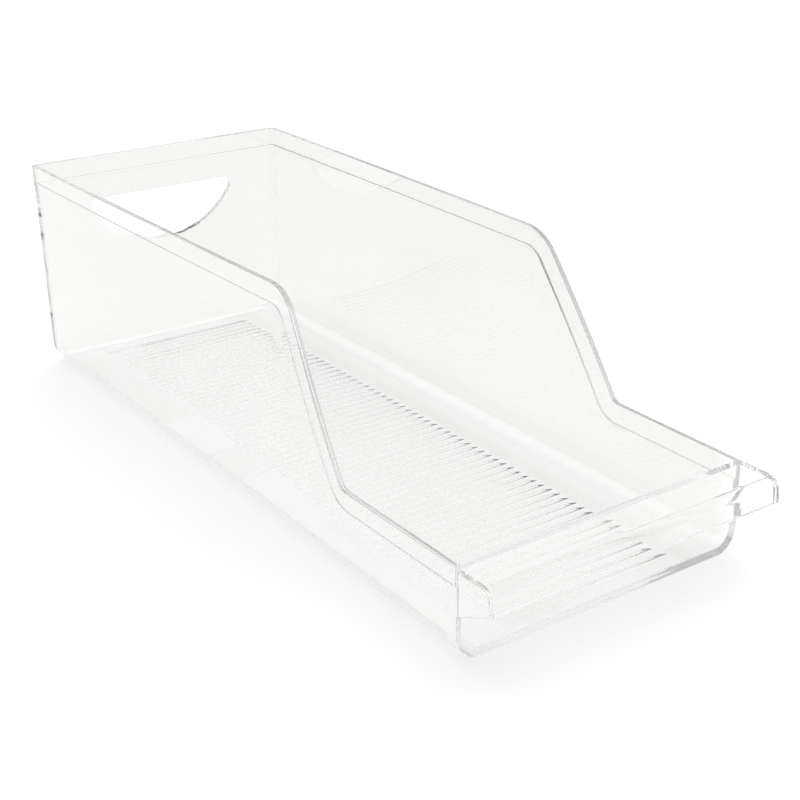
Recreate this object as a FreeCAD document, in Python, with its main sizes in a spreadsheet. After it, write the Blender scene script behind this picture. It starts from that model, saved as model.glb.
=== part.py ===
import FreeCAD, Part
import os
import Sketcher

# Fridge drink organizer: one clear moulding, divided along its wall lines.
# Millimetres. The origin is the centre of the footprint on the shelf, +Z is up,
# the low front faces -Y and the rear wall with its hand hole faces +Y.

os.makedirs("parts", exist_ok=True)
doc = FreeCAD.newDocument("fridge_drink_organizer")

# Driving dimensions
SIZES = {
    # Whole bin
    "body_length": 349.0,        # rear face of the rim to the front face of the front wall
    "body_width": 140.0,         # over the rim
    "rear_height": 104.0,        # top of the tall part
    "front_height": 38.5,        # top of the low part
    "wall": 2.5,                 # every wall and the floor
    "bottom_radius": 10.0,       # outside of the rounded lower edges
    "corner_radius": 2.0,        # outside of the upright rear corners
    # Outline of the side walls
    "slope_top_back": 234.0,     # rear face to the upper end of the slope
    "slope_low_back": 278.0,     # rear face to the lower end of the slope
    "shoulder_radius": 20.0,     # upper bend, at the rim
    "knee_radius": 5.0,          # lower bend, at the rim
    # Rim that steps out round the top
    "rim_height": 10.5,
    "rim_step": 1.0,
    "rim_foot": 2.0,             # ledge that joins the rim to the wall below it
    # Hand hole in the rear wall
    "hole_sill": 55.0,           # lowest point of the hole above the shelf
    "hole_height": 27.5,
    "hole_arc_radius": 47.0,     # round lower edge
    "hole_corner_radius": 4.0,
    # Ribs on the floor
    "rib_length": 84.0,          # across the bin
    "rib_ramp": 4.0,             # sloping part at each end
    "rib_width": 2.0,
    "rib_rise": 0.8,
    "rib_pitch": 5.12,
    "rib_margin": 12.1,          # outside of the end walls to the nearest rib
    # Pull lip along the front
    "lip_reach": 18.5,
    "lip_drop": 10.0,            # depth of the turned-down edge, from the top
    "lip_flare": 1.2,            # how far the edge leans forward on its way down
    "lip_wall": 2.2,
    "lip_bend_radius": 4.5,      # outside of the bend
    "lip_end_wall": 2.0,
    "lip_end_drop": 19.2,        # depth of the end gussets where they meet the bin
}

sizes = doc.addObject("Spreadsheet::Sheet", "sizes")
for row, (alias, value) in enumerate(SIZES.items(), start=1):
    sizes.set(f"A{row}", alias)
    sizes.set(f"B{row}", str(value))
    sizes.setAlias(f"B{row}", alias)
doc.recompute()

# Planes and lines that several pieces share, along the length
REAR = "(sizes.body_length + sizes.lip_reach) / 2"
FRONT = f"({REAR} - sizes.body_length)"
LIP = f"({FRONT} - sizes.lip_reach)"
WALL_REAR = f"({REAR} - sizes.rim_step)"
WALL_REAR_INSIDE = f"({WALL_REAR} - sizes.wall)"
RIM_REAR_INSIDE = f"({REAR} - sizes.wall)"
LIP_BEND = f"({LIP} + sizes.lip_flare)"

# Across the width, as half widths
RIM_SIDE = "(sizes.body_width / 2)"
RIM_SIDE_INSIDE = f"({RIM_SIDE} - sizes.wall)"
WALL_SIDE = f"({RIM_SIDE} - sizes.rim_step)"
WALL_SIDE_INSIDE = f"({WALL_SIDE} - sizes.wall)"
FLOOR_SIDE = f"({WALL_SIDE} - sizes.bottom_radius)"
LIP_SIDE_INSIDE = f"({RIM_SIDE} - sizes.lip_end_wall)"

# Up the height, at the tall part and at the low part
TALL = "sizes.rear_height"
LOW = "sizes.front_height"
INNER_BOTTOM_RADIUS = "(sizes.bottom_radius - sizes.wall)"

# The slope turns by the same angle at both bends, so a line drawn parallel to the
# rim at some depth below it has its bends this share of the depth further back.
SLOPE_RUN = "(sizes.slope_low_back - sizes.slope_top_back)"
BEND_SHARE = f"tan(atan(({TALL} - {LOW}) / {SLOPE_RUN}) / 2)"

RIM_DEPTH = "sizes.rim_height"
FOOT_DEPTH = "(sizes.rim_height - sizes.rim_foot)"


def number(text):
    """Work out an expression on the sheet and give it as a plain number."""
    result = sizes.evalExpression(text)
    return float(getattr(result, "Value", result))


def shoulder(depth):
    """Place of the upper bend, as (y, z), on the line at a depth below the rim."""
    return (f"{REAR} - sizes.slope_top_back + {depth} * {BEND_SHARE}", f"{TALL} - {depth}")


def knee(depth):
    """Place of the lower bend, as (y, z), on the line at a depth below the rim."""
    return (f"{REAR} - sizes.slope_low_back + {depth} * {BEND_SHARE}", f"{LOW} - {depth}")


def new_body(name):
    """Start the body of one piece."""
    body = doc.addObject("PartDesign::Body", name)
    body.Label = name
    return body


def new_sketch(body, name, role, offset="0"):
    """Start a sketch on an origin plane of its body, moved along the plane's normal."""
    sketch = body.newObject("Sketcher::SketchObject", name)
    support = [feature for feature in body.Origin.OriginFeatures if feature.Role == role]
    sketch.AttachmentSupport = [(support[0], "")]
    sketch.MapMode = "FlatFace"
    sketch.setExpression("AttachmentOffset.Base.z", offset)
    return sketch


def hold_point(sketch, geometry, point, place):
    """Tie a point of a sketch to a place given as two expressions."""
    for kind, text in zip(("DistanceX", "DistanceY"), place):
        index = sketch.addConstraint(
            Sketcher.Constraint(kind, -1, 1, geometry, point, number(text)))
        sketch.setExpression(f"Constraints[{index}]", text)


def hold_radius(sketch, geometry, text):
    """Tie the radius of an arc to an expression."""
    index = sketch.addConstraint(Sketcher.Constraint("Radius", geometry, number(text)))
    sketch.setExpression(f"Constraints[{index}]", text)


def point_at(place):
    """Give a place as a vector in the plane of a sketch."""
    return FreeCAD.Vector(number(place[0]), number(place[1]), 0)


def polygon(body, name, role, corners, offset="0"):
    """Draw a closed outline with straight sides through the given corners."""
    sketch = new_sketch(body, name, role, offset)
    count = len(corners)
    for index in range(count):
        start = point_at(corners[index])
        end = point_at(corners[(index + 1) % count])
        sketch.addGeometry(Part.LineSegment(start, end), False)
    for index in range(count):
        sketch.addConstraint(
            Sketcher.Constraint("Coincident", index, 2, (index + 1) % count, 1))
        hold_point(sketch, index, 1, corners[index])
    return sketch


def pad(body, sketch, name, length):
    """Raise a sketch along its normal."""
    feature = body.newObject("PartDesign::Pad", name)
    feature.Profile = sketch
    feature.setExpression("Length", length)
    doc.recompute()
    return feature


def edges_along(shape, axis, places):
    """Name the straight edges along an axis that pass through the given places.

    The axis is 0, 1 or 2 for X, Y or Z. A place gives the other two coordinates,
    in that order.
    """
    others = [index for index in range(3) if index != axis]
    targets = [[number(text) for text in place] for place in places]
    names = []
    for index, edge in enumerate(shape.Edges, start=1):
        if edge.Curve.TypeId != "Part::GeomLine":
            continue
        first, last = edge.Vertexes[0].Point, edge.Vertexes[-1].Point
        for target in targets:
            gaps = [abs(end[other] - value) for end in (first, last)
                    for other, value in zip(others, target)]
            if max(gaps) < 1e-4:
                names.append(f"Edge{index}")
    return names


def arcs_at(shape, radius, along):
    """Name the arcs of a radius that lie in the cross-section at a place along the bin."""
    names = []
    for index, edge in enumerate(shape.Edges, start=1):
        if edge.Curve.TypeId != "Part::GeomCircle":
            continue
        radius_gap = abs(edge.Curve.Radius - number(radius))
        if max(radius_gap, abs(edge.BoundBox.YMin - number(along)), edge.BoundBox.YLength) < 1e-4:
            names.append(f"Edge{index}")
    return names


def fillet(body, feature, name, radius, edges):
    """Round the named edges of a feature."""
    rounded = body.newObject("PartDesign::Fillet", name)
    rounded.Base = (feature, edges)
    rounded.setExpression("Radius", radius)
    doc.recompute()
    return rounded


def floor_panel():
    """Flat floor, from one rounded lower edge to the other."""
    body = new_body("floor_panel")
    corners = [(f"-{FLOOR_SIDE}", FRONT), (FLOOR_SIDE, FRONT),
               (FLOOR_SIDE, WALL_REAR), (f"-{FLOOR_SIDE}", WALL_REAR)]
    outline = polygon(body, "floor_outline", "XY_Plane", corners)
    pad(body, outline, "floor_pad", "sizes.wall")
    return body


def floor_ribs():
    """Low ribs across the floor, with sloping ends, repeated along the bin."""
    body = new_body("floor_ribs")
    body.AllowCompound = True
    foot = "(sizes.rib_length / 2)"
    crest = f"({foot} - sizes.rib_ramp)"
    top = "sizes.wall + sizes.rib_rise"
    corners = [(f"-{foot}", "sizes.wall"), (foot, "sizes.wall"), (crest, top), (f"-{crest}", top)]
    back_of_rib = f"-({FRONT} + sizes.rib_margin + sizes.rib_width / 2)"
    outline = polygon(body, "rib_outline", "XZ_Plane", corners, back_of_rib)
    rib = pad(body, outline, "rib_pad", "sizes.rib_width")
    row = body.newObject("PartDesign::LinearPattern", "rib_row")
    row.Originals = [rib]
    row.Direction = (outline, ["N_Axis"])
    row.Reversed = True
    row.Mode = "Spacing"
    row.setExpression("Offset", "sizes.rib_pitch")
    run = "(sizes.body_length - sizes.rim_step - 2 * sizes.rib_margin)"
    row.setExpression("Occurrences", f"floor({run} / sizes.rib_pitch) + 1")
    body.Tip = row
    return body


def side_wall(name, side):
    """Side wall with its slope, above the rounded lower edge.

    The side is -1 for the left and 1 for the right.
    """
    body = new_body(name)
    low_left = f"-{WALL_SIDE}" if side < 0 else WALL_SIDE_INSIDE
    corners = [
        (WALL_REAR, "sizes.bottom_radius"), (WALL_REAR, f"{TALL} - {RIM_DEPTH}"),
        shoulder(RIM_DEPTH), knee(RIM_DEPTH),
        (FRONT, f"{LOW} - {RIM_DEPTH}"), (FRONT, "sizes.bottom_radius"),
    ]
    outline = polygon(body, f"{name}_outline", "YZ_Plane", corners, low_left)
    plate = pad(body, outline, f"{name}_plate", "sizes.wall")
    plate = fillet(body, plate, f"{name}_shoulder", "sizes.shoulder_radius - sizes.rim_height",
                   edges_along(plate.Shape, 0, [shoulder(RIM_DEPTH)]))
    plate = fillet(body, plate, f"{name}_knee", "sizes.knee_radius + sizes.rim_height",
                   edges_along(plate.Shape, 0, [knee(RIM_DEPTH)]))
    upright = (f"{side} * {WALL_SIDE}", WALL_REAR)
    fillet(body, plate, f"{name}_corner", "sizes.corner_radius",
           edges_along(plate.Shape, 2, [upright]))
    return body


def bend_ring(name, side, start, end):
    """Part of the rounded lower edge between a side wall and the floor.

    The start and the end are the turns, in degrees, at which the piece begins and
    ends: 0 where the bend meets the floor, 90 where it meets the wall.
    """
    body = new_body(name)
    section = ring_section(body, f"{name}_section", side, start, end)
    ring = pad(body, section, f"{name}_ring", f"{WALL_REAR} - {FRONT}")
    fillet(body, ring, f"{name}_corner", "sizes.corner_radius",
           arcs_at(ring.Shape, "sizes.bottom_radius", WALL_REAR))
    return body


def on_bend(side, radius, turn):
    """Place on the rounded lower edge, as (x, z), at a radius and a turn in degrees."""
    return (f"{side} * ({FLOOR_SIDE} + {radius} * sin({turn}))",
            f"sizes.bottom_radius - {radius} * cos({turn})")


def ring_section(body, name, side, start, end):
    """Draw the section of a bend between two turns, through the whole wall."""
    sketch = new_sketch(body, name, "XZ_Plane", f"-{WALL_REAR}")
    middle = (start + end) / 2
    radii = ("sizes.bottom_radius", INNER_BOTTOM_RADIUS)
    corners = [[on_bend(side, radius, turn) for turn in (start, end)] for radius in radii]
    for radius, (first, last) in zip(radii, corners):
        through = on_bend(side, radius, middle)
        sketch.addGeometry(Part.Arc(point_at(first), point_at(through), point_at(last)), False)
    for first, last in zip(*corners):
        sketch.addGeometry(Part.LineSegment(point_at(first), point_at(last)), False)
    for line in range(2):
        for arc in range(2):
            # An arc always runs anticlockwise, so on the left its ends change places
            arc_end = 1 + line if side > 0 else 2 - line
            sketch.addConstraint(
                Sketcher.Constraint("Coincident", 2 + line, 1 + arc, arc, arc_end))
            hold_point(sketch, 2 + line, 1 + arc, corners[arc][line])
    for arc, radius in enumerate(radii):
        hold_radius(sketch, arc, radius)
    return sketch


def rear_wall():
    """Rear wall between the side walls, with a half-moon hand hole."""
    body = new_body("rear_wall")
    corners = [(f"-{WALL_SIDE_INSIDE}", "sizes.wall"), (WALL_SIDE_INSIDE, "sizes.wall"),
               (WALL_SIDE_INSIDE, f"{TALL} - {RIM_DEPTH}"),
               (f"-{WALL_SIDE_INSIDE}", f"{TALL} - {RIM_DEPTH}")]
    outline = polygon(body, "rear_wall_outline", "XZ_Plane", corners, f"-{WALL_REAR}")
    plate = pad(body, outline, "rear_wall_plate", "sizes.wall")
    lower = [(f"-{WALL_SIDE_INSIDE}", "sizes.wall"), (WALL_SIDE_INSIDE, "sizes.wall")]
    fillet(body, plate, "rear_wall_lower_corners", INNER_BOTTOM_RADIUS,
           edges_along(plate.Shape, 1, lower))
    hole = hand_hole(body)
    cut = body.newObject("PartDesign::Pocket", "hand_hole")
    cut.Profile = hole
    cut.Reversed = True
    cut.setExpression("Length", "sizes.wall")
    doc.recompute()
    corner = ("sqrt(sizes.hole_height * (2 * sizes.hole_arc_radius - sizes.hole_height))",
              "sizes.hole_sill + sizes.hole_height")
    ends = [corner, (f"-{corner[0]}", corner[1])]
    fillet(body, cut, "hand_hole_corners", "sizes.hole_corner_radius",
           edges_along(cut.Shape, 1, ends))
    return body


def hand_hole(body):
    """Draw the hand hole: a straight top over a round lower edge."""
    sketch = new_sketch(body, "hand_hole_outline", "XZ_Plane", f"-{WALL_REAR}")
    top = "sizes.hole_sill + sizes.hole_height"
    half = "sqrt(sizes.hole_height * (2 * sizes.hole_arc_radius - sizes.hole_height))"
    left, right, lowest = (f"-{half}", top), (half, top), ("0", "sizes.hole_sill")
    sketch.addGeometry(Part.LineSegment(point_at(left), point_at(right)), False)
    sketch.addGeometry(Part.Arc(point_at(left), point_at(lowest), point_at(right)), False)
    sketch.addConstraint(Sketcher.Constraint("Coincident", 0, 1, 1, 1))
    sketch.addConstraint(Sketcher.Constraint("Coincident", 0, 2, 1, 2))
    hold_point(sketch, 0, 1, left)
    hold_point(sketch, 0, 2, right)
    hold_radius(sketch, 1, "sizes.hole_arc_radius")
    return sketch


def front_wall():
    """Low front wall, widened at the top to close the stepped-out rim."""
    body = new_body("front_wall")
    ledge = f"{LOW} - {FOOT_DEPTH}"
    right = [(WALL_SIDE_INSIDE, "sizes.wall"), (WALL_SIDE_INSIDE, ledge),
             (RIM_SIDE_INSIDE, ledge), (RIM_SIDE_INSIDE, LOW)]
    left = [(f"-{across}", up) for across, up in reversed(right)]
    outline = polygon(body, "front_wall_outline", "XZ_Plane", right + left,
                      f"-({FRONT} + sizes.wall)")
    plate = pad(body, outline, "front_wall_plate", "sizes.wall")
    lower = [(f"-{WALL_SIDE_INSIDE}", "sizes.wall"), (WALL_SIDE_INSIDE, "sizes.wall")]
    fillet(body, plate, "front_wall_lower_corners", INNER_BOTTOM_RADIUS,
           edges_along(plate.Shape, 1, lower))
    return body


def strip(rear, upper_depth, lower_depth):
    """List the corners of a strip that follows the rim between two depths below it."""
    upper = [(rear, f"{TALL} - {upper_depth}"), shoulder(upper_depth), knee(upper_depth),
             (FRONT, f"{LOW} - {upper_depth}")]
    lower = [(rear, f"{TALL} - {lower_depth}"), shoulder(lower_depth), knee(lower_depth),
             (FRONT, f"{LOW} - {lower_depth}")]
    return upper + lower[::-1]


def side_rim(name, side):
    """Stepped-out rim of a side wall, with the foot that joins it to the wall."""
    body = new_body(name)
    band_left = f"-{RIM_SIDE}" if side < 0 else RIM_SIDE_INSIDE
    band_outline = polygon(body, f"{name}_band_outline", "YZ_Plane",
                           strip(REAR, "0", RIM_DEPTH), band_left)
    pad(body, band_outline, f"{name}_band", "sizes.wall")
    foot_left = f"-{RIM_SIDE_INSIDE}" if side < 0 else WALL_SIDE_INSIDE
    foot_outline = polygon(body, f"{name}_foot_outline", "YZ_Plane",
                           strip(RIM_REAR_INSIDE, FOOT_DEPTH, RIM_DEPTH), foot_left)
    rim = pad(body, foot_outline, f"{name}_foot", "sizes.rim_step")
    for label, depth in (("top", "0"), ("bottom", RIM_DEPTH), ("ledge", FOOT_DEPTH)):
        rim = fillet(body, rim, f"{name}_{label}_shoulder", f"sizes.shoulder_radius - {depth}",
                     edges_along(rim.Shape, 0, [shoulder(depth)]))
        rim = fillet(body, rim, f"{name}_{label}_knee", f"sizes.knee_radius + {depth}",
                     edges_along(rim.Shape, 0, [knee(depth)]))
    upright = (f"{side} * {RIM_SIDE}", REAR)
    fillet(body, rim, f"{name}_corner", "sizes.corner_radius",
           edges_along(rim.Shape, 2, [upright]))
    return body


def rear_rim():
    """Stepped-out rim of the rear wall, between the side rims."""
    body = new_body("rear_rim")
    bottom = f"{TALL} - {RIM_DEPTH}"
    ledge = f"{TALL} - {FOOT_DEPTH}"
    band = [(f"-{RIM_SIDE_INSIDE}", bottom), (RIM_SIDE_INSIDE, bottom),
            (RIM_SIDE_INSIDE, TALL), (f"-{RIM_SIDE_INSIDE}", TALL)]
    outline = polygon(body, "rear_rim_band_outline", "XZ_Plane", band, f"-{REAR}")
    pad(body, outline, "rear_rim_band", "sizes.wall")
    foot = [(f"-{WALL_SIDE_INSIDE}", bottom), (WALL_SIDE_INSIDE, bottom),
            (WALL_SIDE_INSIDE, ledge), (f"-{WALL_SIDE_INSIDE}", ledge)]
    outline = polygon(body, "rear_rim_foot_outline", "XZ_Plane", foot, f"-{RIM_REAR_INSIDE}")
    pad(body, outline, "rear_rim_foot", "sizes.rim_step")
    return body


def pull_lip():
    """Ledge along the front wall, turned down at its front edge."""
    body = new_body("pull_lip")
    under = f"{LOW} - sizes.lip_wall"
    edge = f"{LOW} - sizes.lip_drop"
    bend, inner_bend = (LIP_BEND, LOW), (f"{LIP_BEND} + sizes.lip_wall", under)
    corners = [(FRONT, LOW), bend, (LIP, edge), (f"{LIP} + sizes.lip_wall", edge),
               inner_bend, (FRONT, under)]
    outline = polygon(body, "pull_lip_outline", "YZ_Plane", corners, f"-{LIP_SIDE_INSIDE}")
    lip = pad(body, outline, "pull_lip_strip", f"2 * {LIP_SIDE_INSIDE}")
    lip = fillet(body, lip, "pull_lip_bend", "sizes.lip_bend_radius",
                 edges_along(lip.Shape, 0, [bend]))
    fillet(body, lip, "pull_lip_inner_bend", "sizes.lip_bend_radius - sizes.lip_wall",
           edges_along(lip.Shape, 0, [inner_bend]))
    return body


def lip_end(name, side):
    """Gusset that closes one end of the pull lip and braces it against the bin."""
    body = new_body(name)
    low_left = f"-{RIM_SIDE}" if side < 0 else LIP_SIDE_INSIDE
    bend = (LIP_BEND, LOW)
    corners = [(FRONT, LOW), bend, (LIP, f"{LOW} - sizes.lip_drop"),
               (FRONT, f"{LOW} - sizes.lip_end_drop")]
    outline = polygon(body, f"{name}_outline", "YZ_Plane", corners, low_left)
    plate = pad(body, outline, f"{name}_plate", "sizes.lip_end_wall")
    fillet(body, plate, f"{name}_bend", "sizes.lip_bend_radius",
           edges_along(plate.Shape, 0, [bend]))
    return body


LEFT, RIGHT = -1, 1

# Degrees that a rounded lower edge turns through. It is divided halfway, so that each
# piece bends only a little.
QUARTER_TURN = 90

pieces = [
    floor_panel(),
    floor_ribs(),
    bend_ring("left_floor_bend", LEFT, 0, QUARTER_TURN / 2),
    bend_ring("right_floor_bend", RIGHT, 0, QUARTER_TURN / 2),
    bend_ring("left_wall_bend", LEFT, QUARTER_TURN / 2, QUARTER_TURN),
    bend_ring("right_wall_bend", RIGHT, QUARTER_TURN / 2, QUARTER_TURN),
    side_wall("left_side_wall", LEFT),
    side_wall("right_side_wall", RIGHT),
    rear_wall(),
    front_wall(),
    side_rim("left_rim", LEFT),
    side_rim("right_rim", RIGHT),
    rear_rim(),
    pull_lip(),
    lip_end("left_lip_end", LEFT),
    lip_end("right_lip_end", RIGHT),
]
doc.recompute()

# Every feature has to be sound before anything is written
for item in doc.Objects:
    if "Invalid" in item.State or "Error" in item.State:
        raise RuntimeError(f"{item.Label} failed: {item.State}")
for piece in pieces:
    if piece.Shape.isNull() or not piece.Shape.isValid():
        raise RuntimeError(f"{piece.Label} has no valid shape")

for piece in pieces:
    piece.Shape.exportStep(f"parts/{piece.Label}.step")
    box = piece.Shape.BoundBox
    print(f"{piece.Label}: {len(piece.Shape.Solids)} solid(s), {piece.Shape.Volume / 1000:.2f} cm3, "
          f"X {box.XMin:.2f} to {box.XMax:.2f}, Y {box.YMin:.2f} to {box.YMax:.2f}, "
          f"Z {box.ZMin:.2f} to {box.ZMax:.2f}")
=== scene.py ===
import logging
import math
from dataclasses import dataclass
from enum import Enum
from typing import Any, Callable, Sequence

import bmesh
import bpy
from mathutils import Matrix, Vector


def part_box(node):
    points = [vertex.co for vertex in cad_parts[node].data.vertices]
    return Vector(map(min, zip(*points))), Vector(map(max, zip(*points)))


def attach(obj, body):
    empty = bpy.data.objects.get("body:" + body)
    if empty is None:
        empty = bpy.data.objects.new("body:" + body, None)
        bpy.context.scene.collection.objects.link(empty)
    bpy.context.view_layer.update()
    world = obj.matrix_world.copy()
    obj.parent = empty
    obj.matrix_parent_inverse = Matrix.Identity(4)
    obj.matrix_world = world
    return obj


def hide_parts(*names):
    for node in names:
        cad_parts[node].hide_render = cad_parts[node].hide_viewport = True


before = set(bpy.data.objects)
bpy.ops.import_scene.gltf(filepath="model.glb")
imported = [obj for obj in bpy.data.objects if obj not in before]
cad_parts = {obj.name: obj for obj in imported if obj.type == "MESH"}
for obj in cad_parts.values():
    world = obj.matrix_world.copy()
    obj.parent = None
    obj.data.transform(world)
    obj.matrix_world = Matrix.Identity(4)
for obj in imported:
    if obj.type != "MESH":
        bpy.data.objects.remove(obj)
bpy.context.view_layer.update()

# Every mesh is shaped in millimetres and scaled to metres as its last step
MM = 0.001
CM = 0.01

# Points of a mesh nearer than this are welded, in millimetres
WELD = 0.0005

# A corner nearer than this to a place is the one that is meant, in millimetres
NEAR = 0.01

log = logging.getLogger("drink_organizer")


class Wall(Enum):
    """Which way a face of the bin's wall looks."""

    OUTSIDE = "outside"
    INSIDE = "inside"


class Join(Enum):
    """How a second solid is combined with the bin."""

    ADD = "UNION"
    CUT = "DIFFERENCE"


# Shader maths

class Number:
    """A number that runs through a node tree, with Python's operators adding Math nodes."""

    def __init__(self, finish: "NodeFinish", socket: bpy.types.NodeSocket) -> None:
        """Wrap an output socket of a finish's tree."""
        self.finish = finish
        self.socket = socket

    def _math(self, operation: str, first: Any, second: Any) -> "Number":
        """Add a Math node.

        Args:
            operation: the node's operation.
            first: a Number or a plain number.
            second: a Number or a plain number.

        Returns:
            The node's result.
        """
        return Number(self.finish, self.finish.node(
            "ShaderNodeMath", {"operation": operation}, {0: first, 1: second}).outputs[0])

    def __add__(self, other: Any) -> "Number":
        """Add."""
        return self._math("ADD", self, other)

    def __radd__(self, other: Any) -> "Number":
        """Add from the right."""
        return self._math("ADD", other, self)

    def __sub__(self, other: Any) -> "Number":
        """Subtract."""
        return self._math("SUBTRACT", self, other)

    def __rsub__(self, other: Any) -> "Number":
        """Subtract from the right."""
        return self._math("SUBTRACT", other, self)

    def __mul__(self, other: Any) -> "Number":
        """Multiply."""
        return self._math("MULTIPLY", self, other)

    def __rmul__(self, other: Any) -> "Number":
        """Multiply from the right."""
        return self._math("MULTIPLY", other, self)

    def greater(self, other: Any) -> "Number":
        """Take the greater of the two."""
        return self._math("MAXIMUM", self, other)

    def smooth(self, start: float, end: float, low: float = 0.0, high: float = 1.0) -> "Number":
        """Run smoothly from one value to another while this number runs over a range.

        Args:
            start: where the range starts.
            end: where the range ends.
            low: value up to the start.
            high: value from the end on.

        Returns:
            The result.
        """
        return self.finish.number("ShaderNodeMapRange", {"interpolation_type": "SMOOTHSTEP"}, {
            "Value": self, "From Min": start, "From Max": end, "To Min": low, "To Max": high})


class NodeFinish:
    """A node tree, and the one method that every node of it comes from."""

    def __init__(self, tree: bpy.types.NodeTree) -> None:
        """Empty the tree."""
        self.tree = tree
        self.tree.nodes.clear()

    def node(self, kind: str, settings: dict[str, Any] | None = None,
             inputs: dict[Any, Any] | None = None) -> bpy.types.Node:
        """Add a node.

        Args:
            kind: the node's type.
            settings: its own settings, set before its sockets.
            inputs: values, Numbers or sockets for its inputs, by name or place.

        Returns:
            The node.
        """
        node = self.tree.nodes.new(kind)
        for name, value in (settings or {}).items():
            setattr(node, name, value)
        for key, value in (inputs or {}).items():
            if isinstance(value, Number):
                value = value.socket
            if isinstance(value, bpy.types.NodeSocket):
                self.tree.links.new(value, node.inputs[key])
            else:
                node.inputs[key].default_value = value
        return node

    def number(self, kind: str, settings: dict[str, Any] | None = None,
               inputs: dict[Any, Any] | None = None, output: Any = 0) -> Number:
        """Add a node, as above, and take one of its outputs as a Number."""
        return Number(self, self.node(kind, settings, inputs).outputs[output])


@dataclass(frozen=True)
class Pattern:
    """A noise pattern that lies still on the bin, with its scale in repeats per metre."""

    scale: float
    detail: float = 2.0
    roughness: float = 0.5

    def build(self, tree: NodeFinish, place: bpy.types.NodeSocket) -> Number:
        """Make the pattern.

        Args:
            tree: the material's tree.
            place: the place on the bin.

        Returns:
            The pattern's strength, from 0 to 1.
        """
        return tree.number("ShaderNodeTexNoise", inputs={
            "Vector": place, "Scale": self.scale, "Detail": self.detail,
            "Roughness": self.roughness})


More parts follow.
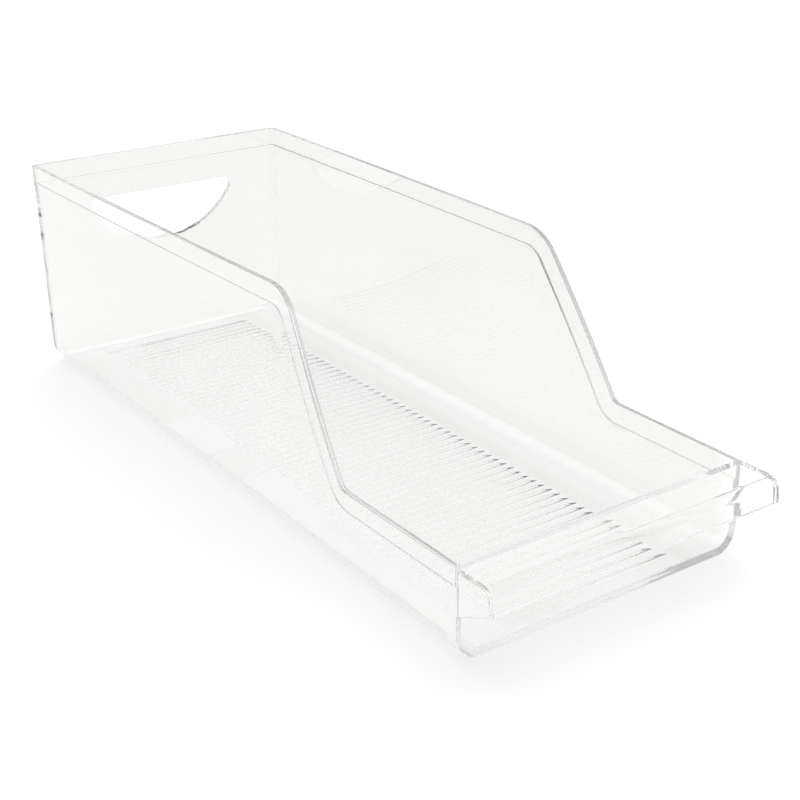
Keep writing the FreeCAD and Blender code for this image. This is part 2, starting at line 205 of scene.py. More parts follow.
@dataclass(frozen=True)
class ClearPlastic:
    """Clear polished plastic, with the faint waves, clouds and scuffs of a moulded wall, and painted
    shade in its tint.

    Lengths and places are in metres: X across the bin, Y along it and Z above the shelf.
    """

    # Tint of the walls, which is the plastic's own tint with painted shade added, and of what is
    # clearest
    wall_tint_and_shade: tuple[float, float, float, float] = (0.85, 0.854, 0.834, 1.0)
    clear_tint: tuple[float, float, float, float] = (0.996, 0.997, 0.993, 1.0)

    # The walls' tint and painted shade start above the floor and behind the front
    floor_top: float = 0.0028
    wall_start: float = 0.0046
    front_clear: float = -0.166
    front_full: float = -0.15

    # Painted shade: the left wall has little of it, except at the rear, while the right and rear
    # walls take it all
    left_share: float = 0.02
    left_full: float = -0.062
    right_full: float = -0.056
    rear_start: float = 0.176
    rear_full: float = 0.179

    # Painted shade at the rounded lower edges and in a band of the floor's margin beside the ribs
    # adds to it, and the floor adds a little tint
    bend_start: float = 0.007
    bend_end: float = 0.0135
    bend_shade_share: float = 0.4
    floor_share: float = 0.05
    margin_start: float = 0.0415
    margin_full: float = 0.0445
    margin_fade: float = 0.0465
    margin_end: float = 0.0545
    margin_shade_share: float = 0.36

    # Clouds that thin it
    clouds: Pattern = Pattern(14.0, 3.0)
    cloud_depth: float = 0.3

    # Polish, and where it is scuffed
    refraction: float = 1.57
    roughness: float = 0.015
    scuffs: Pattern = Pattern(21.0, 6.0, 0.7)
    scuff_start: float = 0.55
    scuff_full: float = 0.8
    scuff_roughness: float = 0.05

    # Waves and grain of the surface
    waves: Pattern = Pattern(1 / 0.045, 1.0, 0.4)
    wave_height: float = 0.00001
    grain: Pattern = Pattern(1 / 0.0011)
    grain_height: float = 0.0000004

    # Colour that light takes on inside the plastic
    depth_colour: tuple[float, float, float, float] = (0.89, 0.892, 0.89, 1.0)
    depth_density: float = 10.0

    def tint_and_shade_share(self, tree: NodeFinish, place: bpy.types.NodeSocket) -> Number:
        """Work out how much of the walls' tint and painted shade a place has.

        Args:
            tree: the material's tree.
            place: the place on the bin.

        Returns:
            The share, 0 where the plastic is clearest and 1 for the walls' full tint and painted
            shade.
        """
        parts = tree.node("ShaderNodeSeparateXYZ", inputs={0: place}).outputs
        across, along, up = (Number(tree, parts[axis]) for axis in "XYZ")
        on_wall = up.smooth(self.floor_top, self.wall_start)
        behind = along.smooth(self.front_clear, self.front_full)
        rear = along.smooth(self.rear_start, self.rear_full)
        # Painted shade: full on the right wall, little on the left wall, full again at the rear
        right = across.smooth(self.left_full, self.right_full, self.left_share)
        clear_clouds = 1 - self.clouds.build(tree, place) * self.cloud_depth
        walls = on_wall * behind * right.greater(rear) * clear_clouds
        # Painted shade: a soft darker band on the floor just past the ends of the ribs
        past_ribs = across.smooth(self.margin_start, self.margin_full)
        margin = past_ribs * across.smooth(self.margin_fade, self.margin_end, self.margin_shade_share, 0.0)
        floor = (1 - on_wall) * (margin + self.floor_share)
        # Painted shade: darker low on the walls, over the rounded lower edges where they meet the
        # floor
        low = up.smooth(self.bend_start, self.bend_end, self.bend_shade_share, 0.0)
        bends = on_wall * behind * (1 - rear) * low
        return walls + floor + bends

    def build(self) -> bpy.types.Material:
        """Make the material.

        Returns:
            The material.
        """
        material = bpy.data.materials.new("clear_plastic")
        material.use_nodes = True
        tree = NodeFinish(material.node_tree)
        place = tree.node("ShaderNodeTexCoord").outputs["Object"]
        height = (self.waves.build(tree, place) * self.wave_height
                  + self.grain.build(tree, place) * self.grain_height)
        bump = tree.node("ShaderNodeBump", inputs={
            "Strength": 1.0, "Distance": 1.0, "Height": height})
        worn = tree.number("ShaderNodeMapRange", inputs={
            "Value": self.scuffs.build(tree, place), "From Min": self.scuff_start,
            "From Max": self.scuff_full})
        # The plastic's clearest tint, mixed by the share with the walls' tint and painted shade
        tint = tree.node("ShaderNodeMix", {"data_type": "RGBA"}, {
            0: self.tint_and_shade_share(tree, place), 6: self.clear_tint, 7: self.wall_tint_and_shade})
        plastic = tree.node("ShaderNodeBsdfPrincipled", inputs={
            "Base Color": tint.outputs[2], "Roughness": self.roughness + worn * self.scuff_roughness,
            "IOR": self.refraction, "Transmission Weight": 1.0, "Normal": bump.outputs["Normal"]})
        depth = tree.node("ShaderNodeVolumeAbsorption", inputs={
            "Color": self.depth_colour, "Density": self.depth_density})
        tree.node("ShaderNodeOutputMaterial", inputs={
            "Surface": plastic.outputs[0], "Volume": depth.outputs[0]})
        return material


# The bin

@dataclass(frozen=True)
class BinSizes:
    """Sizes and places of the bin, in millimetres."""

    # From the frame
    half_width: float
    front: float
    rear: float
    tall: float
    low: float
    wall: float
    rim_step: float
    rim_height: float
    bottom_radius: float

    # Slope of the sides: its two ends, measured from the rear, and its two bends
    slope_top_back: float = 234.0
    slope_low_back: float = 278.0
    shoulder_radius: float = 20.0
    knee_radius: float = 5.0

    # Rim: the height of its foot, its step in the outer face, and its rounded edges
    rim_foot: float = 2.0
    outer_step: float = 0.22
    edge_radius: float = 0.12
    step_radius: float = 0.1
    ledge_radius: float = 0.38

    # Upright corners at the rear and the front, the inner corners, and the lower edges there
    corner_radius: float = 2.0
    front_edge_radius: float = 0.3
    inner_radius: float = 1.0
    end_radius: float = 0.5

    @classmethod
    def from_frame(cls) -> "BinSizes":
        """Read the sizes that the frame's nodes give.

        Returns:
            The sizes.
        """
        rim_low, rim_high = (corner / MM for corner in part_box("right_rim"))
        wall_low, wall_high = (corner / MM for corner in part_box("right_side_wall"))
        front_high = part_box("front_wall")[1] / MM
        return cls(half_width=rim_high.x, front=rim_low.y, rear=rim_high.y, tall=rim_high.z,
                   low=front_high.z, wall=wall_high.x - wall_low.x,
                   rim_step=rim_high.x - wall_high.x, rim_height=rim_high.z - wall_high.z,
                   bottom_radius=wall_low.z)


@dataclass(frozen=True)
class Level:
    """One line that runs round the bin, on the outside or the inside of its wall.

    The line follows the rim at a depth below it, or lies part or all of the way down
    from there to a height above the shelf.
    """

    half_width: float
    front: float
    rear: float
    depth: float
    front_radius: float
    rear_radius: float
    share: float = 0.0
    height: float = 0.0

    def lowered(self, height: float) -> float:
        """Give the height of a point of the line from its height on the rim's parallel."""
        return height + (self.height - height) * self.share


class Side:
    """Outline of a side wall from the rear to the front, as parallels to the rim."""

    REAR_STEPS = 26
    SHOULDER_STEPS = 10
    SLOPE_STEPS = 8
    KNEE_STEPS = 8
    FRONT_STEPS = 10

    def __init__(self, sizes: BinSizes) -> None:
        """Work out the slope's turn and the centres of its two bends.

        Args:
            sizes: the bin's sizes.
        """
        self.sizes = sizes
        self.turn = math.atan2(sizes.tall - sizes.low,
                               sizes.slope_low_back - sizes.slope_top_back)
        setback = math.tan(self.turn / 2)
        shoulder_y = sizes.rear - sizes.slope_top_back
        knee_y = sizes.rear - sizes.slope_low_back
        self.shoulder_centre = (shoulder_y + sizes.shoulder_radius * setback,
                                sizes.tall - sizes.shoulder_radius)
        self.knee_centre = (knee_y - sizes.knee_radius * setback,
                            sizes.low + sizes.knee_radius)

    def parallel(self, depth: float, rear: float, front: float) -> list[tuple[float, float]]:
        """List the points of the line at a depth below the rim, from rear to front.

        Args:
            depth: distance below the rim, square to it.
            rear: place of the first point along the bin.
            front: place of the last point along the bin.

        Returns:
            The points, as (along, up).
        """
        shoulder = self._arc(self.shoulder_centre, self.sizes.shoulder_radius - depth,
                             self.SHOULDER_STEPS)
        knee = self._arc(self.knee_centre, -self.sizes.knee_radius - depth, self.KNEE_STEPS)
        start = (rear, shoulder[0][1])
        end = (front, knee[-1][1])
        return (self._straight(start, shoulder[0], self.REAR_STEPS) + shoulder[:-1]
                + self._straight(shoulder[-1], knee[0], self.SLOPE_STEPS) + knee[:-1]
                + self._straight(knee[-1], end, self.FRONT_STEPS) + [end])

    def _arc(self, centre: tuple[float, float], radius: float,
             steps: int) -> list[tuple[float, float]]:
        """List the points of a bend.

        Args:
            centre: the bend's centre.
            radius: its radius, below zero where the centre lies above the bend.
            steps: how many stretches it has.

        Returns:
            The points, as (along, up).
        """
        points = []
        for step in range(steps + 1):
            share = step / steps
            angle = self.turn * (share if radius > 0 else 1 - share)
            points.append((centre[0] - radius * math.sin(angle),
                           centre[1] + radius * math.cos(angle)))
        return points

    @staticmethod
    def _straight(start: tuple[float, float], end: tuple[float, float],
                  steps: int) -> list[tuple[float, float]]:
        """List the points of a straight line.

        Args:
            start: its first point.
            end: its last point.
            steps: how many stretches it has.

        Returns:
            The points without the last, as (along, up).
        """
        return [(start[0] + (end[0] - start[0]) * step / steps,
                 start[1] + (end[1] - start[1]) * step / steps) for step in range(steps)]


def quarter(steps: int) -> list[tuple[float, float]]:
    """List the pairs (sine, cosine) over a quarter turn, its two ends included."""
    return [(math.sin(math.pi / 2 * step / steps), math.cos(math.pi / 2 * step / steps))
            for step in range(steps + 1)]


def drape(mesh: bmesh.types.BMesh, lines: Sequence[Sequence[Vector]]) -> None:
    """Lay a grid over lines of points, one row of the grid to each line.

    Args:
        mesh: the mesh that gets the grid.
        lines: the rows, all with as many points.
    """
    columns = len(lines[0]) - 1
    rows = len(lines) - 1
    grid = bmesh.ops.create_grid(mesh, x_segments=columns, y_segments=rows, size=1.0)
    for vert in grid["verts"]:
        column = round((vert.co.x + 1) / 2 * columns)
        row = round((vert.co.y + 1) / 2 * rows)
        vert.co = lines[row][column]


def finished(mesh: bmesh.types.BMesh, name: str) -> bpy.types.Object:
    """Turn a mesh in millimetres into an object of the scene in metres.

    Args:
        mesh: the mesh, which is freed.
        name: name of the object and its mesh.

    Returns:
        The object.
    """
    bmesh.ops.recalc_face_normals(mesh, faces=mesh.faces)
    bmesh.ops.scale(mesh, vec=(MM, MM, MM), verts=mesh.verts)
    data = bpy.data.meshes.new(name)
    mesh.to_mesh(data)
    mesh.free()
    piece = bpy.data.objects.new(name, data)
    bpy.context.scene.collection.objects.link(piece)
    return piece


class Shell:
    """Floor, walls and stepped rim, as lines round the bin from its underside to its inside."""

    CORNER_STEPS = 8
    FRONT_STEPS = 9
    REAR_STEPS = 9
    WALL_ROWS = 8
    BAND_ROWS = 3
    EDGE_STEPS = 3
    STEP_STEPS = 4
    END_STEPS = 4
    FLOOR_STEPS = 5
    FLOOR_STRIPS = 16

    # The even steps along the front start this far inside the floor's edge, in millimetres
    FRONT_MARGIN = 3.0

    # Only faces of the floor have more corners than this
    FEW_CORNERS = 8

    def __init__(self, sizes: BinSizes) -> None:
        """Keep the sizes and the outline of the sides."""
        self.sizes = sizes
        self.side = Side(sizes)

    def line(self, level: Level) -> list[Vector]:
        """List the points of one level over the left half, from the rear's middle to the front's.

        Args:
            level: the level.

        Returns:
            The points.
        """
        side = self.side.parallel(level.depth, level.rear - level.rear_radius,
                                  level.front + level.front_radius)
        side = [(along, level.lowered(up)) for along, up in side]
        rear_up, front_up = side[0][1], side[-1][1]
        rear_end = level.half_width - level.rear_radius
        front_end = level.half_width - level.front_radius
        points = [Vector((-rear_end * step / self.REAR_STEPS, level.rear, rear_up))
                  for step in range(self.REAR_STEPS)]
        for sine, cosine in quarter(self.CORNER_STEPS)[:-1]:
            points.append(Vector((-rear_end - level.rear_radius * sine,
                                  level.rear - level.rear_radius * (1 - cosine), rear_up)))
        points += [Vector((-level.half_width, along, up)) for along, up in side]
        for sine, cosine in quarter(self.CORNER_STEPS)[1:]:
            points.append(Vector((-front_end - level.front_radius * cosine,
                                  level.front + level.front_radius * (1 - sine), front_up)))
        reach = (self.sizes.half_width - self.sizes.bottom_radius - self.sizes.rim_step
                 - self.FRONT_MARGIN)
        points += [Vector((-reach * (1 - step / self.FRONT_STEPS), level.front, front_up))
                   for step in range(self.FRONT_STEPS + 1)]
        return points

    def level(self, face: Wall, inset: float, depth: float, share: float = 0.0,
              height: float = 0.0, end_inset: float = 0.0, side_inset: float = 0.0,
              front_inset: float | None = None) -> Level:
        """Describe one level.

        Args:
            face: outside or inside of the wall.
            inset: distance inside the rim's outer face, at the sides and the rear.
            depth: distance below the rim.
            share: share of the way down to the height.
            height: height above the shelf that the share leads to.
            end_inset: further distance inwards at the rear and the front.
            side_inset: further distance inwards at the sides.
            front_inset: distance inside the front face, if not the wall's own.

        Returns:
            The level.
        """
        sizes = self.sizes
        inside = face is Wall.INSIDE
        if front_inset is None:
            front_inset = sizes.wall if inside else 0.0
        return Level(half_width=sizes.half_width - inset - side_inset,
                     front=sizes.front + front_inset + end_inset,
                     rear=sizes.rear - inset - end_inset, depth=depth,
                     front_radius=sizes.inner_radius if inside else sizes.front_edge_radius,
                     rear_radius=sizes.inner_radius if inside else sizes.corner_radius,
                     share=share, height=height)

    def bottom(self, face: Wall, inset: float, depth: float, floor: float,
               radius: float, end_radius: float) -> list[Level]:
        """List the levels of a rounded lower edge, from the floor up to the wall.

        Args:
            face: outside or inside of the wall.
            inset: how far the wall above stands inside the rim's outer face.
            depth: depth of the line above which the wall starts.
            floor: height of the floor's face.
            radius: radius along the sides.
            end_radius: radius along the rear and the front.

        Returns:
            The levels.
        """
        low_turn = math.acos(1 - end_radius / radius)
        turns = [low_turn * step / self.END_STEPS for step in range(self.END_STEPS)]
        turns += [low_turn + (math.pi / 2 - low_turn) * step / self.FLOOR_STEPS
                  for step in range(self.FLOOR_STEPS)]
        levels = []
        for turn in turns:
            rise = radius * (1 - math.cos(turn))
            left = max(end_radius - rise, 0.0)
            end_inset = end_radius - math.sqrt(end_radius ** 2 - left ** 2)
            levels.append(self.level(face, inset, depth, 1.0, floor + rise, end_inset,
                                     radius * (1 - math.sin(turn))))
        return levels

    def outside(self) -> list[Level]:
        """List the levels of the outside.

        Returns:
            The levels, from the underside to the rim's top.
        """
        sizes = self.sizes
        step, radius, edge = sizes.outer_step, sizes.step_radius, sizes.edge_radius
        wall_top = sizes.rim_height + radius
        levels = self.bottom(Wall.OUTSIDE, sizes.rim_step, wall_top, 0.0, sizes.bottom_radius,
                             sizes.end_radius)
        for row in range(self.WALL_ROWS):
            inset = sizes.rim_step + (step - sizes.rim_step) * row / self.WALL_ROWS
            levels.append(self.level(Wall.OUTSIDE, inset, wall_top, 1 - row / self.WALL_ROWS,
                                     sizes.bottom_radius))
        for sine, cosine in quarter(self.STEP_STEPS):
            levels.append(self.level(Wall.OUTSIDE, step - radius * (1 - cosine),
                                     wall_top - radius * sine))
        for sine, cosine in quarter(self.STEP_STEPS):
            levels.append(self.level(Wall.OUTSIDE, radius * (1 - sine),
                                     sizes.rim_height - radius * (1 - cosine)))
        band_bottom = sizes.rim_height - radius
        levels += [self.level(Wall.OUTSIDE, 0.0,
                              band_bottom + (edge - band_bottom) * row / self.BAND_ROWS)
                   for row in range(1, self.BAND_ROWS)]
        for sine, cosine in quarter(self.EDGE_STEPS):
            levels.append(self.level(Wall.OUTSIDE, edge * (1 - cosine), edge * (1 - sine),
                                     front_inset=0.0))
        return levels

    def inside(self) -> list[Level]:
        """List the levels of the inside.

        Returns:
            The levels, from the rim's top to the floor.
        """
        sizes = self.sizes
        wall, edge, radius = sizes.wall, sizes.edge_radius, sizes.ledge_radius
        foot = wall + sizes.rim_step
        ledge = sizes.rim_height - sizes.rim_foot
        wall_top = ledge + radius
        levels = []
        for sine, cosine in quarter(self.EDGE_STEPS):
            levels.append(self.level(Wall.INSIDE, wall - edge * (1 - sine), edge * (1 - cosine),
                                     front_inset=wall - edge * (1 - sine)))
        levels += [self.level(Wall.INSIDE, wall,
                              edge + (ledge - radius - edge) * row / self.BAND_ROWS)
                   for row in range(1, self.BAND_ROWS)]
        for sine, cosine in quarter(self.STEP_STEPS):
            levels.append(self.level(Wall.INSIDE, wall + radius * (1 - cosine),
                                     ledge - radius * (1 - sine)))
        for sine, cosine in quarter(self.STEP_STEPS):
            levels.append(self.level(Wall.INSIDE, foot - radius * (1 - sine),
                                     ledge + radius * (1 - cosine)))
        levels += [self.level(Wall.INSIDE, foot, wall_top, row / self.WALL_ROWS,
                              sizes.bottom_radius) for row in range(1, self.WALL_ROWS + 1)]
        levels += self.bottom(Wall.INSIDE, foot, wall_top, wall,
                              sizes.bottom_radius - wall, sizes.inner_radius)[::-1]
        return levels

    def build(self) -> bpy.types.Object:
        """Make the closed shell.

        Returns:
            The shell's object.
        """
        mesh = bmesh.new()
        drape(mesh, [self.line(level) for level in self.outside() + self.inside()])
        bmesh.ops.mirror(mesh, geom=mesh.verts[:] + mesh.edges[:] + mesh.faces[:],
                         merge_dist=2 * WELD, axis="X")
        bmesh.ops.remove_doubles(mesh, verts=mesh.verts, dist=WELD)
        bmesh.ops.dissolve_degenerate(mesh, dist=WELD, edges=mesh.edges)
        bmesh.ops.holes_fill(mesh, edges=[edge for edge in mesh.edges if edge.is_boundary])
        length = self.sizes.rear - self.sizes.front
        for strip in range(1, self.FLOOR_STRIPS):
            along = self.sizes.front + length * strip / self.FLOOR_STRIPS
            floors = [face for face in mesh.faces if len(face.verts) > self.FEW_CORNERS]
            edges = list(dict.fromkeys(edge for face in floors for edge in face.edges))
            bmesh.ops.bisect_plane(mesh, geom=floors + edges, plane_co=(0, along, 0),
                                   plane_no=(0, 1, 0))
        return finished(mesh, "shell")


def extruded(corners: Sequence[tuple[float, float]], half_width: float) -> bmesh.types.BMesh:
    """Extrude an outline across the bin.

    Args:
        corners: the outline's corners, as (along, up).
        half_width: how far it reaches to each side.

    Returns:
        The closed prism.
    """
    mesh = bmesh.new()
    loop = [mesh.verts.new((-half_width, along, up)) for along, up in corners]
    face = bmesh.ops.contextual_create(mesh, geom=loop)["faces"][0]
    raised = bmesh.ops.extrude_face_region(mesh, geom=[face])["geom"]
    bmesh.ops.translate(mesh, vec=(2 * half_width, 0, 0),
                        verts=[item for item in raised if isinstance(item, bmesh.types.BMVert)])
    bmesh.ops.recalc_face_normals(mesh, faces=mesh.faces)
    return mesh


def round_edges(mesh: bmesh.types.BMesh, radius: float, steps: int,
                chosen: Callable[[bmesh.types.BMEdge], bool]) -> None:
    """Round the edges of a mesh that a test picks.

    Args:
        mesh: the mesh.
        radius: radius of the rounding.
        steps: faces over each rounding.
        chosen: the test.
    """
    edges = [edge for edge in mesh.edges if chosen(edge)]
    turn = max(edge.calc_face_angle(math.pi / 2) for edge in edges)
    bmesh.ops.bevel(mesh, geom=edges, offset=radius * math.tan(turn / 2), offset_type="OFFSET",
                    affect="EDGES", segments=steps, profile=0.5, material=-1)


@dataclass
class HandHole:
    """Half-moon hand hole in the rear wall."""

    sizes: BinSizes
    sill: float = 55.0
    height: float = 27.5
    arc_radius: float = 47.0
    corner_radius: float = 4.0
    inner_reach: float = 1.0
    outer_reach: float = 2.0
    arc_steps: int = 20
    corner_steps: int = 8
    top_steps: int = 8

    def outline(self, along: float) -> list[Vector]:
        """List the points of the hole's outline.

        Args:
            along: place along the bin.

        Returns:
            The points, the first repeated as the last.
        """
        top = self.sill + self.height
        centre_up = self.sill + self.arc_radius
        corner_up = top - self.corner_radius
        corner_out = math.sqrt((self.arc_radius - self.corner_radius) ** 2
                               - (centre_up - corner_up) ** 2)
        low = math.atan2(corner_up - centre_up, corner_out)
        radius, corner = self.arc_radius, self.corner_radius
        half = []
        for step in range(self.top_steps):
            half.append((corner_out * step / self.top_steps, top))
        for step in range(self.corner_steps):
            angle = math.pi / 2 + (low - math.pi / 2) * step / self.corner_steps
            half.append((corner_out + corner * math.cos(angle), corner_up + corner * math.sin(angle)))
        for step in range(self.arc_steps + 1):
            angle = low + (-math.pi / 2 - low) * step / self.arc_steps
            half.append((radius * math.cos(angle), centre_up + radius * math.sin(angle)))
        full = half + [(-across, up) for across, up in half[-2::-1]]
        return [Vector((across, along, up)) for across, up in full]

    def build(self) -> bpy.types.Object:
        """Make the solid that cuts the hole.

        Returns:
            The cutter's object.
        """
        rear = self.sizes.rear - self.sizes.rim_step
        mesh = bmesh.new()
        drape(mesh, [self.outline(rear - self.sizes.wall - self.inner_reach),
                     self.outline(rear + self.outer_reach)])
        bmesh.ops.remove_doubles(mesh, verts=mesh.verts, dist=WELD)
        bmesh.ops.holes_fill(mesh, edges=[edge for edge in mesh.edges if edge.is_boundary])
        return finished(mesh, "hand_hole")


@dataclass
class FloorRibs:
    """Low rounded ribs across the floor, with sloping ends."""

    sizes: BinSizes
    pitch: float = 5.12
    width: float = 2.0
    spread: float = 0.3
    ramp: float = 4.0
    root: float = 0.6
    section_steps: int = 8

    def section(self, along: float, rise: float) -> list[tuple[float, float]]:
        """List the corners of a rib's section, a smooth hump over a root in the floor.

        Args:
            along: place of the rib's front along the bin.
            rise: its height above the floor.

        Returns:
            The corners, as (along, up).
        """
        floor = self.sizes.wall
        middle = along + self.width / 2
        half = self.width / 2 + self.spread
        corners = [(middle - half, floor - self.root)]
        for step in range(self.section_steps + 1):
            share = 2 * step / self.section_steps - 1
            corners.append((middle + half * share,
                            floor + rise * (1 + math.cos(math.pi * share)) / 2))
        return corners + [(middle + half, floor - self.root)]

    def rib(self, half_length: float, along: float, rise: float) -> bmesh.types.BMesh:
        """Make one rib.

        Args:
            half_length: half its length across the bin.
            along: place of its front along the bin.
            rise: its height above the floor.

        Returns:
            The rib's mesh.
        """
        mesh = extruded(self.section(along, rise), half_length)
        for vert in mesh.verts:
            up = max(vert.co.z - self.sizes.wall, 0.0)
            vert.co.x -= math.copysign(self.ramp * up / rise, vert.co.x)
        return mesh

    def build(self) -> bpy.types.Object:
        """Make the row of ribs.

        Returns:
            The ribs' object.
        """
        low, high = (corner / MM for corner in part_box("floor_ribs"))
        rise = high.z - low.z
        count = round((high.y - low.y - self.width) / self.pitch) + 1
        mesh = self.rib(high.x, low.y, rise)
        first = mesh.verts[:] + mesh.edges[:] + mesh.faces[:]
        for place in range(1, count):
            copied = bmesh.ops.duplicate(mesh, geom=first)["geom"]
            bmesh.ops.translate(mesh, vec=(0, self.pitch * place, 0),
                                verts=[item for item in copied
                                       if isinstance(item, bmesh.types.BMVert)])
        return finished(mesh, "ribs")


@dataclass
class PullLip:
    """Pull lip along the front, turned down at its edge and closed by a gusset at each end."""

    sizes: BinSizes
    flare: float = 1.2
    thickness: float = 2.2
    bend_radius: float = 4.5
    edge_radius: float = 0.12
    hollow_reach: float = 10.0
    flat_angle: float = math.radians(0.5)
    sharp_angle: float = math.radians(40)
    edge_steps: int = 2
    bend_steps: int = 8

    def build(self) -> bpy.types.Object:
        """Make the lip with its gussets.

        Returns:
            The lip's object.
        """
        low, high = (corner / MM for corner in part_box("right_lip_end"))
        drop = high.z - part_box("pull_lip")[0].z / MM
        top, front = self.sizes.low, self.sizes.front
        tip, bend = low.y, low.y + self.flare
        mesh = extruded([(front, top), (bend, top), (tip, top - drop), (front, low.z)], high.x)
        round_edges(mesh, self.bend_radius, self.bend_steps, self._along_x(bend, top))
        block = finished(mesh, "lip_block")

        clear = self.hollow_reach
        under = top - self.thickness
        inner_bend = bend + self.thickness
        mesh = extruded([(front + clear, low.z - clear), (front + clear, under),
                         (inner_bend, under), (tip + self.thickness, top - drop),
                         (tip - clear, top - drop), (tip - clear, low.z - clear)], low.x)
        round_edges(mesh, self.bend_radius - self.thickness, self.bend_steps,
                    self._along_x(inner_bend, under))
        combine(block, finished(mesh, "lip_hollow"), Join.CUT)

        mesh = bmesh.new()
        mesh.from_mesh(block.data)
        bmesh.ops.scale(mesh, vec=(1 / MM, 1 / MM, 1 / MM), verts=mesh.verts)
        bmesh.ops.dissolve_limit(mesh, angle_limit=self.flat_angle, verts=mesh.verts,
                                 edges=mesh.edges)
        round_edges(mesh, self.edge_radius, self.edge_steps,
                    lambda edge: edge.calc_face_angle(0.0) > self.sharp_angle
                    and any(vert.co.y < front - NEAR for vert in edge.verts))
        bpy.data.objects.remove(block)
        return finished(mesh, "lip")

    @staticmethod
    def _along_x(along: float, up: float) -> Callable[[bmesh.types.BMEdge], bool]:
        """Give a test for the edge across the bin at a place."""
        place = Vector((along, up))
        return lambda edge: all((vert.co.yz - place).length < NEAR for vert in edge.verts)


def combine(body: bpy.types.Object, other: bpy.types.Object, join: Join) -> None:
    """Add a second solid to an object, or cut it out, and remove the second.

    Args:
        body: the object that is changed.
        other: the second solid.
        join: add or cut.
    """
    modifier = body.modifiers.new("join", "BOOLEAN")
    modifier.operation = join.value
    modifier.solver = "EXACT"
    modifier.object = other
    bpy.context.view_layer.update()
    graph = bpy.context.evaluated_depsgraph_get()
    data = bpy.data.meshes.new_from_object(body.evaluated_get(graph))
    body.modifiers.clear()
    old = body.data
    body.data = data
    bpy.data.meshes.remove(old)
    bpy.data.objects.remove(other)


@dataclass
class DrinkOrganizer:
    """The whole bin: one clear moulding."""

    sizes: BinSizes
    finish: ClearPlastic
    lean: float = 4.9
    lean_up_power: float = 1.6
    lean_back_power: float = 1.5
    sharp_angle: float = math.radians(50)
    normal_weight: int = 100

    def leaned(self, place: Vector) -> Vector:
        """Lean a point of the side walls inwards, towards their free upper corners.

        Args:
            place: the point, in metres.

        Returns:
            The point's new place.
        """
        sizes = self.sizes
        up = (place.z / MM - sizes.low) / (sizes.tall - sizes.low)
        back = (sizes.rear - place.y / MM) / sizes.slope_top_back
        if up <= 0 or back <= 0:
            return place
        reach = abs(place.x) / (sizes.half_width * MM)
        inwards = (self.lean * MM * up ** self.lean_up_power
                   * min(back, 1.0) ** self.lean_back_power * reach)
        return Vector((place.x - math.copysign(inwards, place.x), place.y, place.z))

    def build(self) -> bpy.types.Object:
        """Make the bin and dress it.

        Returns:
            The bin's object.
        """
        bin_piece = Shell(self.sizes).build()
        log.info("shell: %d faces", len(bin_piece.data.polygons))
        combine(bin_piece, HandHole(self.sizes).build(), Join.CUT)
        combine(bin_piece, FloorRibs(self.sizes).build(), Join.ADD)
        combine(bin_piece, PullLip(self.sizes).build(), Join.ADD)
        bin_piece.name = bin_piece.data.name = "clear_bin"

        mesh = bmesh.new()
        mesh.from_mesh(bin_piece.data)
        bmesh.ops.remove_doubles(mesh, verts=mesh.verts, dist=2 * WELD * MM)
        for vert in mesh.verts:
            vert.co = self.leaned(vert.co)
        for face in mesh.faces:
            face.smooth = True
        for edge in mesh.edges:
            edge.smooth = edge.calc_face_angle(0.0) < self.sharp_angle
        open_edges = sum(not edge.is_manifold for edge in mesh.edges)
        volume = mesh.calc_volume() / CM ** 3
        mesh.to_mesh(bin_piece.data)
        mesh.free()
        log.info("clear_bin: %d faces, %d open edges, %.1f cm3",
                 len(bin_piece.data.polygons), open_edges, volume)

        weighted = bin_piece.modifiers.new("even_shading", "WEIGHTED_NORMAL")
        weighted.keep_sharp = True
        weighted.weight = self.normal_weight
        bin_piece.data.materials.clear()
        bin_piece.data.materials.append(self.finish.build())
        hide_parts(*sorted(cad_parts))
        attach(bin_piece, "root")
        return bin_piece


# The studio

@dataclass(frozen=True)
class PhotoCamera:
    """Camera at the photograph's place, with its turn and its lens."""

    place: tuple[float, float, float] = (-0.32785, -0.49642, 0.28424)
    azimuth: float = -35.348
    elevation: float = 23.672
    roll: float = -0.225
    focal_pixels: float = 1441.645
    picture_pixels: float = 800.0
    sensor_width: float = 36.0
    clip_start: float = 0.01

    def build(self) -> bpy.types.Object:
        """Make the camera.

        Returns:
            The camera's object.
        """
        data = bpy.data.cameras.new("photo_camera")
        data.sensor_width = self.sensor_width
        data.lens = self.sensor_width * self.focal_pixels / self.picture_pixels
        data.clip_start = self.clip_start
        camera = bpy.data.objects.new("photo_camera", data)
        turn = (Matrix.Rotation(math.radians(self.azimuth), 4, "Z")
                @ Matrix.Rotation(math.radians(90 - self.elevation), 4, "X")
                @ Matrix.Rotation(math.radians(self.roll), 4, "Z"))
        camera.matrix_world = Matrix.Translation(self.place) @ turn
        bpy.context.scene.collection.objects.link(camera)
        bpy.context.scene.camera = camera
        return camera


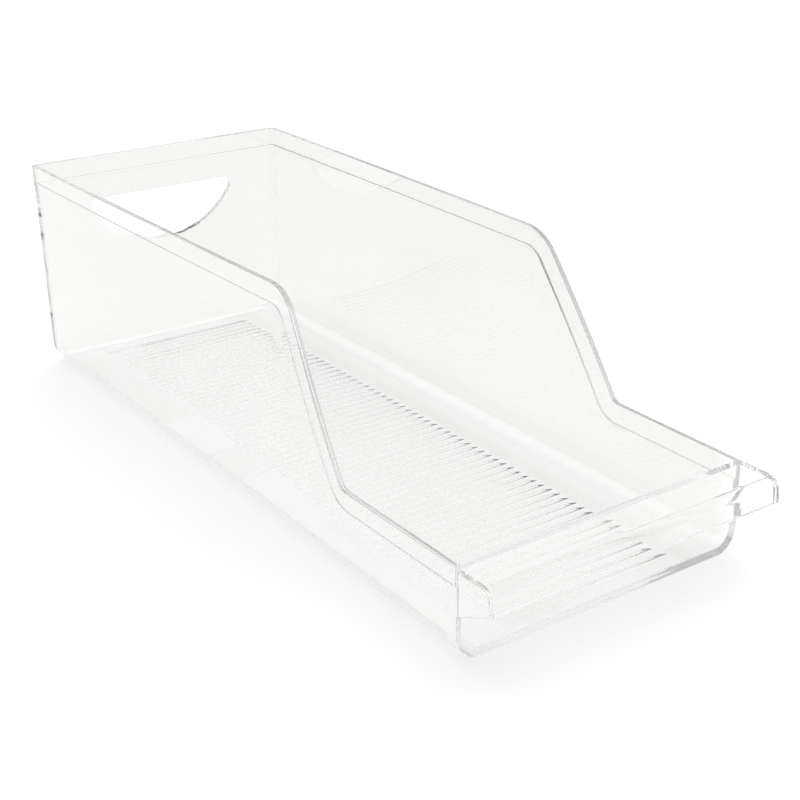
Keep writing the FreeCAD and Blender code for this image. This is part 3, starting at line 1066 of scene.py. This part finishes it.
@dataclass
class Studio:
    """White table and soft light all round.

    A height of the light is the upward part of its direction, from 0 level to 1 overhead.
    """

    # Table top, and the glow that shows it white
    floor_half_size: float = 6.0
    floor_gap: float = 0.0002
    floor_colour: tuple[float, float, float, float] = (0.32, 0.32, 0.32, 1.0)
    fill: float = 0.767

    # Greyer light overhead
    ceiling: float = 0.9
    ceiling_start: float = 0.6
    ceiling_full: float = 0.9

    # Brighter light behind the bin
    key_side: tuple[float, float, float] = (0.5, 0.87, 0.0)
    key_share: float = 0.08
    key_start: float = 0.2
    key_full: float = 0.5

    # Broad lamp that lights the table alone, and so makes the shadow
    lamp_side: tuple[float, float, float] = (0.33, 0.30, 0.895)
    lamp_strength: float = 2.05
    lamp_start: float = 0.5
    lamp_full: float = 0.95

    light_bounces: int = 96

    def seen(self, tree: NodeFinish) -> Number:
        """Tell what is looked at from what is lit.

        Args:
            tree: the tree that asks.

        Returns:
            1 for what the camera, a reflection or a refraction sees, and 0 for light.
        """
        rays = tree.node("ShaderNodeLightPath")
        either = {"operation": "ADD", "use_clamp": True}
        direct = tree.number("ShaderNodeMath", either, {
            0: rays.outputs["Is Camera Ray"], 1: rays.outputs["Is Glossy Ray"]})
        return tree.number("ShaderNodeMath", either, {
            0: direct, 1: rays.outputs["Is Transmission Ray"]})

    def build_floor(self) -> bpy.types.Object:
        """Make the table top.

        Returns:
            The table top's object.
        """
        mesh = bmesh.new()
        bmesh.ops.create_grid(mesh, x_segments=1, y_segments=1, size=self.floor_half_size)
        bmesh.ops.translate(mesh, vec=(0, 0, -self.floor_gap), verts=mesh.verts)
        data = bpy.data.meshes.new("table_top")
        mesh.to_mesh(data)
        mesh.free()
        floor = bpy.data.objects.new("table_top", data)
        bpy.context.scene.collection.objects.link(floor)
        material = bpy.data.materials.new("pale_table")
        material.use_nodes = True
        tree = NodeFinish(material.node_tree)
        paint = tree.node("ShaderNodeBsdfDiffuse", inputs={"Color": self.floor_colour})
        fill = self.seen(tree) * self.fill
        glow = tree.node("ShaderNodeEmission", inputs={"Strength": fill})
        both = tree.node("ShaderNodeAddShader", inputs={0: paint.outputs[0], 1: glow.outputs[0]})
        tree.node("ShaderNodeOutputMaterial", inputs={"Surface": both.outputs[0]})
        data.materials.append(material)
        return floor

    def build_dome(self) -> bpy.types.World:
        """Make the soft light all round, and the lamp that only the table is lit by.

        Returns:
            The world.
        """
        world = bpy.data.worlds.new("soft_dome")
        world.use_nodes = True
        bpy.context.scene.world = world
        tree = NodeFinish(world.node_tree)
        way = tree.node("ShaderNodeTexCoord").outputs["Generated"]
        up = tree.number("ShaderNodeSeparateXYZ", inputs={0: way}, output="Z")
        overhead = up.smooth(self.ceiling_start, self.ceiling_full, 1.0, self.ceiling)
        raised = up.smooth(self.key_start, self.key_full)
        facing, towards = (tree.number("ShaderNodeVectorMath", {"operation": "DOT_PRODUCT"}, {
            0: way, 1: side}, "Value") for side in (self.key_side, self.lamp_side))
        shown = overhead * (1 + facing * raised * self.key_share)
        lamp = towards.smooth(self.lamp_start, self.lamp_full, 0.0, self.lamp_strength)
        on_table = tree.number("ShaderNodeLightPath", output="Is Diffuse Ray")
        strength = shown * (1 - on_table) + lamp * on_table
        dome = tree.node("ShaderNodeBackground", inputs={
            "Color": (1.0, 1.0, 1.0, 1.0), "Strength": strength})
        tree.node("ShaderNodeOutputWorld", inputs={"Surface": dome.outputs[0]})
        return world

    def build(self) -> bpy.types.Object:
        """Make the floor and the dome, and set how light and colours are worked out.

        Returns:
            The table top's object.
        """
        floor = self.build_floor()
        self.build_dome()
        scene = bpy.context.scene
        scene.view_settings.view_transform = "Standard"
        scene.cycles.max_bounces = self.light_bounces
        scene.cycles.transmission_bounces = self.light_bounces
        scene.cycles.glossy_bounces = self.light_bounces
        return floor


def main() -> None:
    """Build the bin, the studio and the camera, and report each."""
    logging.basicConfig(level=logging.INFO, format="%(name)s: %(message)s")
    sizes = BinSizes.from_frame()
    log.info("sizes: %s", sizes)
    for part in (DrinkOrganizer(sizes, ClearPlastic()), Studio(), PhotoCamera()):
        piece = part.build()
        log.info("built: %s", piece.name)


if __name__ == "__main__":
    main()
